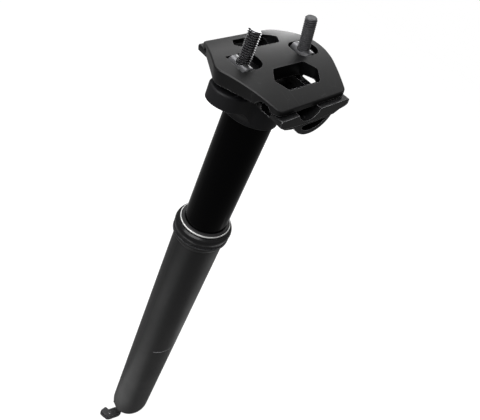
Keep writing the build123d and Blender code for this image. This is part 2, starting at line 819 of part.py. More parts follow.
# Lower cradle: two wings for the rails on a round barrel that turns in the head's seat
groove_edge = rail_spacing / 2 + rail_groove_radius
with BuildPart() as lower_cradle:
    with BuildSketch(clamp_side):
        with BuildLine():
            Polyline(
                (-cradle_half_length, lip_height),
                (cradle_half_length, lip_height),
                (cradle_half_length, -wing_front_bottom),
                (cradle_half_length - wing_front_run, -wing_front_corner),
                (barrel_radius, -wing_bottom),
                (-barrel_radius, -wing_bottom),
                (-cradle_half_length, -wing_rear_bottom),
                close=True,
            )
        make_face()
        fillet(vertices(), wing_edge)
    extrude(amount=cradle_half_width, both=True)
    with BuildSketch(clamp_side):
        Rectangle(2 * cradle_half_length + overrun, 2 * barrel_radius)
    extrude(amount=wing_inner, both=True, mode=Mode.SUBTRACT)
    with BuildSketch(clamp_side):
        Circle(barrel_radius)
        with Locations((0, -trough_lip)):
            Rectangle(
                2 * barrel_radius, barrel_radius, align=(Align.CENTER, Align.MAX),
                mode=Mode.INTERSECT)
    extrude(amount=cradle_half_width, both=True)
    with BuildSketch(clamp_side):
        Circle(trough_radius)
    extrude(amount=wing_inner, both=True, mode=Mode.SUBTRACT)
    with BuildSketch(clamp_across):
        with GridLocations(rail_spacing, 0, 2, 1):
            Circle(rail_groove_radius)
    extrude(amount=cradle_half_length + overrun, both=True, mode=Mode.SUBTRACT)
    for side in (1, -1):
        with BuildSketch(clamp_side.offset(side * groove_edge)):
            with Locations((scoop_forward, scoop_rise)):
                Circle(scoop_radius)
        extrude(amount=side * (cradle_half_width - groove_edge), mode=Mode.SUBTRACT)
        with BuildSketch(clamp_side.offset(side * cradle_half_width)):
            with BuildLine():
                reach = cradle_half_length + overrun
                ThreePointArc((-reach, -step_end), (0, -step_middle), (reach, -step_end))
                Polyline(
                    (reach, -step_end),
                    (reach, -barrel_radius - overrun),
                    (-reach, -barrel_radius - overrun),
                    (-reach, -step_end),
                )
            make_face()
        extrude(amount=-side * step_depth, mode=Mode.SUBTRACT)
        with BuildSketch(clamp_side.offset(side * cradle_half_width)):
            Circle(crescent_radius)
            with Locations((crescent_end, -crescent_top)):
                Rectangle(
                    2 * crescent_radius, crescent_radius, align=(Align.MAX, Align.MAX),
                    mode=Mode.INTERSECT)
        extrude(amount=-side * crescent_depth, mode=Mode.SUBTRACT)
lower_cradle.part.label = "lower_cradle"

# Top plate: a crowned shield with two windows, two rail grooves and a boss for each nut
section_half = plate_half_width + overrun
under_height = crown_height - plate_centre_thickness
crown_edge = crown_height - sagitta(crown_radius, section_half)
under_edge = crown_edge - plate_rim_thickness
with BuildSketch() as plate_plan:
    with BuildLine():
        Polyline(
            (plate_tip, 0),
            (plate_corner_front, plate_half_width),
            (-plate_corner_rear, plate_half_width),
            (-plate_rear_tip, 0),
            (-plate_corner_rear, -plate_half_width),
            (plate_corner_front, -plate_half_width),
            close=True,
        )
    make_face()
    front_to_back = plate_plan.vertices().sort_by(Axis.X)
    fillet(front_to_back[-1:], plate_tip_fillet)
    fillet(plate_plan.vertices().filter_by(lambda v: abs(v.Y) > plate_half_width / 2), plate_corner_fillet)
    fillet(plate_plan.vertices().sort_by(Axis.X)[:1], plate_rear_fillet)
with BuildSketch() as window:
    with BuildLine():
        window_middle = (window_inner + window_outer) / 2
        Polyline(
            (window_tip, window_middle),
            (window_corner, window_outer),
            (-window_corner, window_outer),
            (-window_tip, window_middle),
            (-window_corner, window_inner),
            (window_corner, window_inner),
            close=True,
        )
    make_face()
    fillet(window.vertices(), window_fillet)
with BuildPart() as top_plate:
    with BuildSketch(clamp_across):
        with BuildLine():
            ThreePointArc((-section_half, crown_edge), (0, crown_height), (section_half, crown_edge))
            Line((section_half, crown_edge), (section_half, under_edge))
            ThreePointArc((section_half, under_edge), (0, under_height), (-section_half, under_edge))
            Line((-section_half, under_edge), (-section_half, crown_edge))
        make_face()
    extrude(amount=plate_tip + overrun, both=True)
    with BuildSketch(clamp_level(0)):
        add(plate_plan.sketch)
    extrude(amount=crown_height + overrun, mode=Mode.INTERSECT)
    crown = top_plate.faces().sort_by(Axis(clamp_centre, clamp_up))[-1]
    fillet(crown.edges(), plate_edge)
    with BuildSketch(clamp_level(boss_floor)):
        with Locations((recess_front_x, 0), (recess_rear_x, 0)):
            RectangleRounded(boss_length, boss_width, boss_corner)
    extrude(amount=under_height + overrun - boss_floor)
    with BuildSketch(clamp_across):
        with Locations((rail_spacing / 2, plate_groove_rise), (-rail_spacing / 2, plate_groove_rise)):
            Circle(rail_groove_radius)
    extrude(amount=plate_tip + overrun, both=True, mode=Mode.SUBTRACT)
    with BuildSketch(clamp_level(boss_floor)):
        add(window.sketch)
        mirror(window.sketch, about=Plane.XZ)
    extrude(amount=crown_height, mode=Mode.SUBTRACT)
    with BuildSketch(clamp_level(nut_height_over_seat)):
        with Locations((recess_front_x, 0), (recess_rear_x, 0)):
            RectangleRounded(recess_length, recess_width, recess_corner)
    extrude(amount=nut_sink + overrun, mode=Mode.SUBTRACT)
    with BuildSketch(clamp_side):
        with Locations((nut_x_front, nut_height_over_seat), (nut_x_rear, nut_height_over_seat)):
            Circle(nut_radius + running_fit)
            Rectangle(
                2 * (nut_radius + running_fit), nut_sink + overrun,
                align=(Align.CENTER, Align.MIN))
    extrude(amount=nut_length / 2 + nut_end_gap, both=True, mode=Mode.SUBTRACT)
    for point, direction in ((front_nut_point, front_up), (rear_nut_point, rear_up)):
        with BuildSketch(bolt_level(point, direction, 0)):
            SlotCenterToCenter(floor_slot_run, floor_slot_width)
        extrude(amount=-crown_height, mode=Mode.SUBTRACT)
top_plate.part.label = "top_plate"

pieces = [outer_tube, collar_nut, wiper_seal, wiper_ring, foam_ring, upper_bushing, stanchion,
    lower_bushing, guide_keys, stanchion_cap, cartridge_body, cartridge_gland, top_out_buffer,
    cartridge_piston, cartridge_rod, release_pin, base_plug, bottom_bumper, actuator_bracket, rod_nut,
    actuator_lever, lever_pin, pin_clip, stop_arm, arm_screw, head, lower_cradle, top_plate]

# Bolts, barrel nuts and half-round washers, a set for each end of the clamp
bolt_sets = [
    ("front", front_swing, front_nut_point, front_up, front_bolt_length),
    ("rear", rear_swing, rear_nut_point, rear_up, rear_bolt_length),
]
for end, foot, nut_point, direction, length in bolt_sets:
    with BuildPart() as clamp_bolt:
        with BuildSketch(bolt_side(foot, direction)):
            with BuildLine():
                Polyline(
                    (0, washer_flat - bolt_head_height),
                    (bolt_head_radius - bolt_head_edge, washer_flat - bolt_head_height),
                    (bolt_head_radius, washer_flat - bolt_head_height + bolt_head_edge),
                    (bolt_head_radius, washer_flat),
                    (bolt_radius, washer_flat),
                    (bolt_radius, washer_flat + length - bolt_tip_chamfer),
                    (bolt_radius - bolt_tip_chamfer, washer_flat + length),
                    (0, washer_flat + length),
                    close=True,
                )
            make_face()
        revolve(axis=Axis(foot, direction))
        with BuildSketch(bolt_level(foot, direction, washer_flat - bolt_head_height)):
            RegularPolygon(bolt_socket_flats / 2, 6, major_radius=False)
        extrude(amount=bolt_socket_depth, mode=Mode.SUBTRACT)
    clamp_bolt.part.label = f"{end}_bolt"

    with BuildPart() as half_washer:
        with BuildSketch(bolt_side(foot, direction)):
            Circle(washer_radius)
            with Locations((0, washer_flat)):
                Rectangle(
                    2 * washer_half_width, washer_radius, align=(Align.CENTER, Align.MIN),
                    mode=Mode.INTERSECT)
        extrude(amount=washer_half_length, both=True)
        with BuildSketch(bolt_level(foot, direction, washer_flat)):
            Circle(washer_bore)
        extrude(amount=washer_radius, mode=Mode.SUBTRACT)
    half_washer.part.label = f"{end}_washer"

    with BuildPart() as barrel_nut:
        with BuildSketch(bolt_side(nut_point, direction)):
            Circle(nut_radius)
        extrude(amount=nut_length / 2, both=True)
        chamfer(barrel_nut.edges().filter_by(GeomType.CIRCLE), nut_edge)
        with BuildSketch(bolt_level(nut_point, direction, 0)):
            Circle(nut_bore)
        extrude(amount=nut_radius + overrun, both=True, mode=Mode.SUBTRACT)
    barrel_nut.part.label = f"{end}_nut"

    pieces += [clamp_bolt, half_washer, barrel_nut]

for piece in pieces:
    export_step(piece.part, f"parts/{piece.part.label}.step")
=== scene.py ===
import math

import bpy
from mathutils import Matrix, Vector


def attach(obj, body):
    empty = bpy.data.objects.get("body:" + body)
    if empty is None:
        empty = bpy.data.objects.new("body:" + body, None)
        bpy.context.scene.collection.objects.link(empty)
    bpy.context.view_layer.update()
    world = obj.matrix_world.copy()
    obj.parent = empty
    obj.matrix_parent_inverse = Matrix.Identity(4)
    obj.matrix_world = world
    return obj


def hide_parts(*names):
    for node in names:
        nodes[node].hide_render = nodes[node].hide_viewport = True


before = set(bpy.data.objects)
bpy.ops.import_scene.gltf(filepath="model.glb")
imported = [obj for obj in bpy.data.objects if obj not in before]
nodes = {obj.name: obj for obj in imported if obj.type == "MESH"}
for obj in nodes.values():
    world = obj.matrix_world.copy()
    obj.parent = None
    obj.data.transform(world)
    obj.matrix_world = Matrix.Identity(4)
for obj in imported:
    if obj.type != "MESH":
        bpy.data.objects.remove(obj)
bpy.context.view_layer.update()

mm = 0.001
smoothAngle = 30             # degrees, above which an edge stays sharp


# Picking, editing and cutting, as by hand

def deselectAll():
    if bpy.context.object and bpy.context.object.mode != "OBJECT":
        bpy.ops.object.mode_set(mode="OBJECT")
    bpy.ops.object.select_all(action="DESELECT")


def pick(piece):
    deselectAll()
    piece.select_set(True)
    bpy.context.view_layer.objects.active = piece


def nameIt(name):
    piece = bpy.context.object
    piece.name = name
    piece.data.name = name
    return piece


def selectWhere(piece, kind, test):
    # kind is vertices, edges or polygons, and edit mode opens on what the test picks
    pick(piece)
    bpy.ops.object.mode_set(mode="EDIT")
    modes = {"vertices": "VERT", "edges": "EDGE", "polygons": "FACE"}
    bpy.ops.mesh.select_mode(type=modes[kind])
    bpy.ops.mesh.select_all(action="DESELECT")
    bpy.ops.object.mode_set(mode="OBJECT")
    for item in getattr(piece.data, kind):
        item.select = test(item)
    bpy.ops.object.mode_set(mode="EDIT")


def edgePoints(piece, edge):
    return [piece.data.vertices[i].co for i in edge.vertices]


def objectMode():
    bpy.ops.object.mode_set(mode="OBJECT")


def applyModifiers(piece):
    pick(piece)
    for modifier in list(piece.modifiers):
        bpy.ops.object.modifier_apply(modifier=modifier.name)


def cutWith(piece, tool):
    modifier = piece.modifiers.new("cut", "BOOLEAN")
    modifier.operation = "DIFFERENCE"
    modifier.solver = "EXACT"
    modifier.object = tool
    applyModifiers(piece)
    bpy.data.objects.remove(tool, do_unlink=True)


def settle(piece, matrix=None):
    # the piece's place goes into its mesh, and its object stays at the origin
    pick(piece)
    bpy.ops.object.transform_apply(location=True, rotation=True, scale=True)
    if matrix is not None:
        piece.data.transform(matrix)


def smooth(piece):
    pick(piece)
    bpy.ops.object.shade_smooth_by_angle(angle=math.radians(smoothAngle))


def mergeAndTurnOut(piece, distance):
    selectWhere(piece, "vertices", lambda v: True)
    bpy.ops.mesh.remove_doubles(threshold=distance)
    bpy.ops.mesh.normals_make_consistent(inside=False)
    objectMode()


def makeCylinder(name, sides, radius, depth, location=(0, 0, 0), **more):
    bpy.ops.mesh.primitive_cylinder_add(
        vertices=sides, radius=radius, depth=depth, location=location, **more)
    piece = nameIt(name)
    settle(piece)
    return piece


def bevelEdges(piece, test, offset, segments):
    selectWhere(piece, "edges", test)
    bpy.ops.mesh.bevel(offset=offset * mm, segments=segments, affect="EDGES")
    objectMode()


def copyOf(piece, name):
    twin = piece.copy()
    twin.data = piece.data.copy()
    twin.name = name
    twin.data.name = name
    bpy.context.scene.collection.objects.link(twin)
    return twin


def joinAll(pieces, name):
    pick(pieces[0])
    for piece in pieces:
        piece.select_set(True)
    bpy.ops.object.join()
    return nameIt(name)


# Camera at the photograph's viewpoint, with less shift, so that other views keep more of the head

camera = {
    "place": (134.075, 117.495, 176.722),
    "right": (-0.67174, 0.62233, 0.40183),
    "up": (-0.16849, -0.65658, 0.73520),
    "back": (0.72137, 0.42615, 0.54591),
    "lens": 28.8,
    "sensor": 36.0,
    "shiftX": -0.0938,
    "shiftY": -0.05,
    "nearest": 0.01,
    "farthest": 20.0,
}


def setCamera():
    columns = [Vector(camera[k]) for k in ("right", "up", "back")]
    bpy.ops.object.camera_add()
    eye = bpy.context.object
    eye.name = "photoCamera"
    turn = Matrix(columns).transposed().to_4x4()
    eye.matrix_world = Matrix.Translation(Vector(camera["place"]) * mm) @ turn
    eye.data.sensor_width = camera["sensor"]
    eye.data.lens = camera["lens"]
    eye.data.shift_x = camera["shiftX"]
    eye.data.shift_y = camera["shiftY"]
    eye.data.clip_start = camera["nearest"]
    eye.data.clip_end = camera["farthest"]
    bpy.context.scene.camera = eye


setCamera()
print("camera set")


# Shared effects, each built once as a node group and placed in the materials

def addNode(tree, kind, x, y, **settings):
    node = tree.nodes.new(kind)
    node.location = (x, y)
    for key, value in settings.items():
        setattr(node, key, value)
    return node


def wire(tree, start, end):
    tree.links.new(start, end)


def mathNode(tree, operation, x, y, first, second=None, clamp=False):
    node = addNode(tree, "ShaderNodeMath", x, y, operation=operation, use_clamp=clamp)
    for socket, value in zip(node.inputs, (first, second)):
        if value is None:
            continue
        if isinstance(value, (int, float)):
            socket.default_value = value
        else:
            wire(tree, value, socket)
    return node.outputs[0]


def newGroup(name, takes, gives):
    group = bpy.data.node_groups.new(name, "ShaderNodeTree")
    for label, kind, value in takes:
        socket = group.interface.new_socket(label, in_out="INPUT", socket_type=kind)
        if value is not None:
            socket.default_value = value
    for label, kind in gives:
        group.interface.new_socket(label, in_out="OUTPUT", socket_type=kind)
    entry = addNode(group, "NodeGroupInput", -900, 0)
    leave = addNode(group, "NodeGroupOutput", 700, 0)
    return group, entry.outputs, leave.inputs


rubAndGlintEffect = {
    "width": 0.0004,
    "patchSize": 300.0,
    "cover": 0.5,
    "samples": 6,
    "flatCosine": 0.985,         # between the rounded and the flat normal, where no rub starts
    "sharpCosine": 0.80,         # and where it is full
    "detail": 4.0,
    "noiseRough": 0.6,
    "noiseMiddle": 0.5,
    "gain": 1.6,
}


def makeEdgeRubAndGlint():
    # rounded normal against the flat one finds the edges, and noise breaks the rub up; on some finishes the
    # mask marks rubbed wear, on others a painted highlight along edges and thread crests
    group, takes, gives = newGroup(
        "edgeRubAndGlint",
        [("Vector", "NodeSocketVector", None), ("Width", "NodeSocketFloat", rubAndGlintEffect["width"]),
         ("Patch size", "NodeSocketFloat", rubAndGlintEffect["patchSize"]),
         ("Cover", "NodeSocketFloat", rubAndGlintEffect["cover"])],
        [("Mask", "NodeSocketFloat")])
    bevel = addNode(group, "ShaderNodeBevel", -650, 150, samples=rubAndGlintEffect["samples"])
    wire(group, takes["Width"], bevel.inputs["Radius"])
    geometry = addNode(group, "ShaderNodeNewGeometry", -650, -50)
    dot = addNode(group, "ShaderNodeVectorMath", -450, 100, operation="DOT_PRODUCT")
    wire(group, bevel.outputs["Normal"], dot.inputs[0])
    wire(group, geometry.outputs["Normal"], dot.inputs[1])
    edge = addNode(group, "ShaderNodeMapRange", -250, 100, clamp=True)
    wire(group, dot.outputs["Value"], edge.inputs["Value"])
    edge.inputs["From Min"].default_value = rubAndGlintEffect["flatCosine"]
    edge.inputs["From Max"].default_value = rubAndGlintEffect["sharpCosine"]
    noise = addNode(group, "ShaderNodeTexNoise", -450, -200)
    noise.inputs["Detail"].default_value = rubAndGlintEffect["detail"]
    noise.inputs["Roughness"].default_value = rubAndGlintEffect["noiseRough"]
    wire(group, takes["Vector"], noise.inputs["Vector"])
    wire(group, takes["Patch size"], noise.inputs["Scale"])
    patches = mathNode(group, "ADD", -250, -200, noise.outputs["Fac"], takes["Cover"])
    patches = mathNode(group, "SUBTRACT", -80, -200, patches, rubAndGlintEffect["noiseMiddle"], clamp=True)
    mask = mathNode(group, "MULTIPLY", 100, 0, edge.outputs["Result"], patches)
    full = mathNode(group, "MULTIPLY", 280, 0, mask, rubAndGlintEffect["gain"], clamp=True)
    wire(group, full, gives["Mask"])
    return group


grainEffect = {
    "driftScale": 60.0,
    "driftDetail": 3.0,
    "grainScale": 2500.0,
    "grainDetail": 2.0,
}


def makeFineGrain():
    # two sizes of noise: a shade that drifts, and a fine height for the bump
    group, takes, gives = newGroup(
        "fineGrain",
        [("Vector", "NodeSocketVector", None),
         ("Drift scale", "NodeSocketFloat", grainEffect["driftScale"]),
         ("Grain scale", "NodeSocketFloat", grainEffect["grainScale"]),
         ("Stretch", "NodeSocketVector", (1.0, 1.0, 1.0))],
        [("Drift", "NodeSocketFloat"), ("Grain", "NodeSocketFloat")])
    stretched = addNode(group, "ShaderNodeVectorMath", -650, 0, operation="MULTIPLY")
    wire(group, takes["Vector"], stretched.inputs[0])
    wire(group, takes["Stretch"], stretched.inputs[1])
    for label, output, detail, y in (("Drift scale", "Drift", "driftDetail", 150),
                                     ("Grain scale", "Grain", "grainDetail", -150)):
        noise = addNode(group, "ShaderNodeTexNoise", -350, y)
        noise.inputs["Detail"].default_value = grainEffect[detail]
        wire(group, stretched.outputs["Vector"], noise.inputs["Vector"])
        wire(group, takes[label], noise.inputs["Scale"])
        wire(group, noise.outputs["Fac"], gives[output])
    return group


linesEffect = {
    "perMetre": 4000.0,
    "detail": 1.0,
}


def makeTurnedLines():
    # rings left by the lathe: noise that changes along the axis and outwards only
    group, takes, gives = newGroup(
        "turnedLines",
        [("Vector", "NodeSocketVector", None),
         ("Lines per metre", "NodeSocketFloat", linesEffect["perMetre"])],
        [("Height", "NodeSocketFloat")])
    parts = addNode(group, "ShaderNodeSeparateXYZ", -650, 0)
    wire(group, takes["Vector"], parts.inputs["Vector"])
    flat = addNode(group, "ShaderNodeCombineXYZ", -480, 150)
    wire(group, parts.outputs["X"], flat.inputs["X"])
    wire(group, parts.outputs["Y"], flat.inputs["Y"])
    outwards = addNode(group, "ShaderNodeVectorMath", -320, 150, operation="LENGTH")
    wire(group, flat.outputs["Vector"], outwards.inputs[0])
    along = addNode(group, "ShaderNodeCombineXYZ", -150, 0)
    wire(group, outwards.outputs["Value"], along.inputs["X"])
    wire(group, parts.outputs["Z"], along.inputs["Z"])
    noise = addNode(group, "ShaderNodeTexNoise", 50, 0)
    noise.inputs["Detail"].default_value = linesEffect["detail"]
    wire(group, along.outputs["Vector"], noise.inputs["Vector"])
    wire(group, takes["Lines per metre"], noise.inputs["Scale"])
    wire(group, noise.outputs["Fac"], gives["Height"])
    return group


handlingEffect = {
    "smudgeScale": 45.0,
    "smudgeDetail": 5.0,
    "smudgeRough": 0.62,
    "smudgeDistortion": 0.4,
    "smudgeFrom": 0.42,
    "smudgeTo": 0.68,
    "scratchScale": 220.0,
    "scratchWidth": 0.012,
    "scratchStretch": (1.0, 0.45, 0.16),
    "scratchFrom": 0.56,         # noise above this lets scratches through
}


def makeHandling():
    # soft smudges for the gloss, and thin scattered scratches
    group, takes, gives = newGroup(
        "handling",
        [("Vector", "NodeSocketVector", None),
         ("Smudge scale", "NodeSocketFloat", handlingEffect["smudgeScale"]),
         ("Scratch scale", "NodeSocketFloat", handlingEffect["scratchScale"]),
         ("Scratch width", "NodeSocketFloat", handlingEffect["scratchWidth"])],
        [("Smudge", "NodeSocketFloat"), ("Scratch", "NodeSocketFloat")])
    noise = addNode(group, "ShaderNodeTexNoise", -350, 200)
    noise.inputs["Detail"].default_value = handlingEffect["smudgeDetail"]
    noise.inputs["Roughness"].default_value = handlingEffect["smudgeRough"]
    noise.inputs["Distortion"].default_value = handlingEffect["smudgeDistortion"]
    wire(group, takes["Vector"], noise.inputs["Vector"])
    wire(group, takes["Smudge scale"], noise.inputs["Scale"])
    ramp = addNode(group, "ShaderNodeMapRange", -150, 200, clamp=True)
    ramp.inputs["From Min"].default_value = handlingEffect["smudgeFrom"]
    ramp.inputs["From Max"].default_value = handlingEffect["smudgeTo"]
    wire(group, noise.outputs["Fac"], ramp.inputs["Value"])
    wire(group, ramp.outputs["Result"], gives["Smudge"])
    turned = addNode(group, "ShaderNodeVectorMath", -650, -150, operation="MULTIPLY")
    turned.inputs[1].default_value = handlingEffect["scratchStretch"]
    wire(group, takes["Vector"], turned.inputs[0])
    cells = addNode(group, "ShaderNodeTexVoronoi", -450, -150, feature="DISTANCE_TO_EDGE")
    wire(group, turned.outputs["Vector"], cells.inputs["Vector"])
    wire(group, takes["Scratch scale"], cells.inputs["Scale"])
    thin = mathNode(group, "LESS_THAN", -250, -150, cells.outputs["Distance"], takes["Scratch width"])
    sparse = mathNode(group, "GREATER_THAN", -250, -350, noise.outputs["Fac"],
                      handlingEffect["scratchFrom"])
    wire(group, mathNode(group, "MULTIPLY", -50, -250, thin, sparse), gives["Scratch"])
    return group


effects = {
    "edgeRubAndGlint": makeEdgeRubAndGlint(),
    "fineGrain": makeFineGrain(),
    "turnedLines": makeTurnedLines(),
    "handling": makeHandling(),
}
print("shared effects built")


# Materials, one dictionary of values for each finish

plainFinish = {
    "colour": (0.03, 0.03, 0.032),      # the coat or bare surface
    "drift": 0.15,                      # how far the colour wanders from place to place
    "driftScale": 60.0,
    "rough": 0.4,
    "roughDrift": 0.06,
    "smudge": 0.05,
    "smudgeScale": 45.0,
    "metal": 0.0,
    "specular": 0.5,
    "grainScale": 2500.0,
    "grainStretch": (1.0, 1.0, 1.0),
    "grainHeight": 0.000004,
    "lines": 0.0,
    "linesHeight": 0.0,
    "rubAndGlintColour": (0.3, 0.3, 0.31),      # what shows on the edges: rubbed wear, and on some finishes a painted highlight
    "rubAndGlintWidth": 0.0003,
    "rubAndGlintCover": 0.0,
    "scratch": 0.0,
    "scratchScale": 220.0,
}

finishes = {
    "tubeSatin": {"colour": (0.0030, 0.0030, 0.0032), "rough": 0.41, "specular": 0.27, "drift": 0.12,
                  "grainScale": 3200.0, "grainHeight": 0.000006, "smudge": 0.05, "smudgeScale": 28.0,
                  "rubAndGlintColour": (0.12, 0.12, 0.125), "rubAndGlintCover": 0.25, "scratch": 0.02},
    "collarSatin": {"colour": (0.004, 0.004, 0.0043), "rough": 0.18, "specular": 0.3, "lines": 5200.0,
                    "linesHeight": 0.000004, "grainHeight": 0.000002, "rubAndGlintColour": (0.2, 0.2, 0.21),
                    "rubAndGlintCover": 0.3},
    "stanchionGloss": {"colour": (0.0005, 0.0005, 0.0006), "rough": 0.09, "specular": 0.05, "drift": 0.1,
                       "grainScale": 1800.0, "grainStretch": (1.0, 1.0, 0.05), "grainHeight": 0.0000008,
                       "smudge": 0.06, "smudgeScale": 24.0, "roughDrift": 0.03},
    "forgedMatte": {"colour": (0.007, 0.007, 0.0078), "rough": 0.46, "specular": 0.16, "grainScale": 1500.0,
                    "grainHeight": 0.000016, "rubAndGlintColour": (0.1, 0.1, 0.105), "rubAndGlintCover": 0.3},
    # its edge colour is a painted highlight along the top edges and window rims
    "plateSatin": {"colour": (0.0018, 0.0018, 0.0020), "rough": 0.3, "specular": 0.24, "grainScale": 2800.0,
                   "grainHeight": 0.000006, "rubAndGlintColour": (0.22, 0.22, 0.225), "rubAndGlintWidth": 0.0002,
                   "rubAndGlintCover": 0.42, "scratch": 0.03},
    # its edge colour is a painted highlight along the wing rims
    "cradleSatin": {"colour": (0.0035, 0.0035, 0.0038), "rough": 0.2, "specular": 0.3,
                    "grainHeight": 0.000004, "rubAndGlintColour": (0.35, 0.35, 0.36), "rubAndGlintWidth": 0.00025,
                    "rubAndGlintCover": 0.5},
    "polishedSteel": {"colour": (0.62, 0.62, 0.61), "rough": 0.22, "metal": 1.0, "drift": 0.08,
                      "lines": 7000.0, "linesHeight": 0.000003},
    "satinRing": {"colour": (0.70, 0.70, 0.69), "rough": 0.38, "metal": 0.45, "drift": 0.06,
                  "lines": 7000.0, "linesHeight": 0.000002},
    # its edge colour is a painted highlight on the tip's chamfer
    "dustyZinc": {"colour": (0.055, 0.055, 0.058), "rough": 0.55, "metal": 0.3, "specular": 0.3,
                  "drift": 0.45, "driftScale": 520.0, "grainScale": 2600.0, "grainHeight": 0.00002,
                  "rubAndGlintColour": (0.2, 0.2, 0.21), "rubAndGlintWidth": 0.00012, "rubAndGlintCover": 0.35},
    # its edge colour is painted glints on the thread crests
    "blackZinc": {"colour": (0.03, 0.03, 0.032), "rough": 0.16, "metal": 0.85, "drift": 0.25,
                  "driftScale": 260.0, "grainScale": 3600.0, "rubAndGlintColour": (0.8, 0.8, 0.82),
                  "rubAndGlintWidth": 0.00012, "rubAndGlintCover": 0.75},
    # its edge colour is a painted highlight on the rims of nuts and washers
    "darkSteel": {"colour": (0.11, 0.11, 0.115), "rough": 0.3, "metal": 0.85, "drift": 0.2,
                  "driftScale": 200.0, "lines": 5000.0, "linesHeight": 0.000003,
                  "rubAndGlintColour": (0.4, 0.4, 0.41), "rubAndGlintWidth": 0.00015, "rubAndGlintCover": 0.3},
    "sealRubber": {"colour": (0.012, 0.012, 0.0125), "rough": 0.62, "specular": 0.3, "grainScale": 2200.0,
                   "grainHeight": 0.00001, "lines": 2600.0, "linesHeight": 0.000004},
    "bushingPlastic": {"colour": (0.10, 0.10, 0.09), "rough": 0.5, "grainScale": 1200.0,
                       "grainHeight": 0.00001, "drift": 0.2},
    "oilFoam": {"colour": (0.11, 0.11, 0.11), "rough": 0.95, "specular": 0.1, "grainScale": 900.0,
                "grainHeight": 0.00018, "drift": 0.45, "driftScale": 500.0},
    "keyBrass": {"colour": (0.60, 0.42, 0.16), "rough": 0.33, "metal": 1.0, "drift": 0.15,
                 "grainStretch": (1.0, 1.0, 0.06), "grainHeight": 0.000004,
                 "rubAndGlintColour": (0.8, 0.64, 0.3), "rubAndGlintCover": 0.3},
    "turnedAluminium": {"colour": (0.56, 0.57, 0.58), "rough": 0.32, "metal": 1.0, "drift": 0.08,
                        "lines": 4200.0, "linesHeight": 0.000004},
    "remoteGrey": {"colour": (0.012, 0.012, 0.013), "rough": 0.34, "specular": 0.3, "grainScale": 2600.0,
                   "grainHeight": 0.000008, "rubAndGlintColour": (0.35, 0.35, 0.36), "rubAndGlintWidth": 0.0003,
                   "rubAndGlintCover": 0.5},
    "markWhite": {"colour": (0.78, 0.78, 0.76), "rough": 0.55, "specular": 0.3, "drift": 0.12,
                  "driftScale": 900.0, "grainScale": 5200.0, "grainHeight": 0.000002},
    "markGrey": {"colour": (0.30, 0.30, 0.31), "rough": 0.5, "specular": 0.3, "drift": 0.3,
                 "driftScale": 1200.0, "grainScale": 5200.0, "grainHeight": 0.000002},
}

wornOn = {
    "tubeSatin": ["outer_tube"],
    "collarSatin": ["collar_nut"],
    "stanchionGloss": ["stanchion"],
    "forgedMatte": ["head"],
    "plateSatin": ["top_plate"],
    "cradleSatin": ["lower_cradle"],
    "satinRing": ["wiper_ring"],
    "polishedSteel": ["cartridge_rod", "release_pin", "lever_pin"],
    "blackZinc": ["front_bolt", "arm_screw"],
    "dustyZinc": ["rear_bolt"],
    "darkSteel": ["front_washer", "rear_washer", "front_nut", "rear_nut", "rod_nut", "pin_clip"],
    "sealRubber": ["wiper_seal", "bottom_bumper", "top_out_buffer"],
    "bushingPlastic": ["upper_bushing", "lower_bushing"],
    "oilFoam": ["foam_ring"],
    "keyBrass": ["guide_keys"],
    "turnedAluminium": ["base_plug", "cartridge_piston", "cartridge_body", "cartridge_gland",
                        "stanchion_cap"],
    "remoteGrey": ["actuator_bracket", "actuator_lever", "stop_arm"],
}


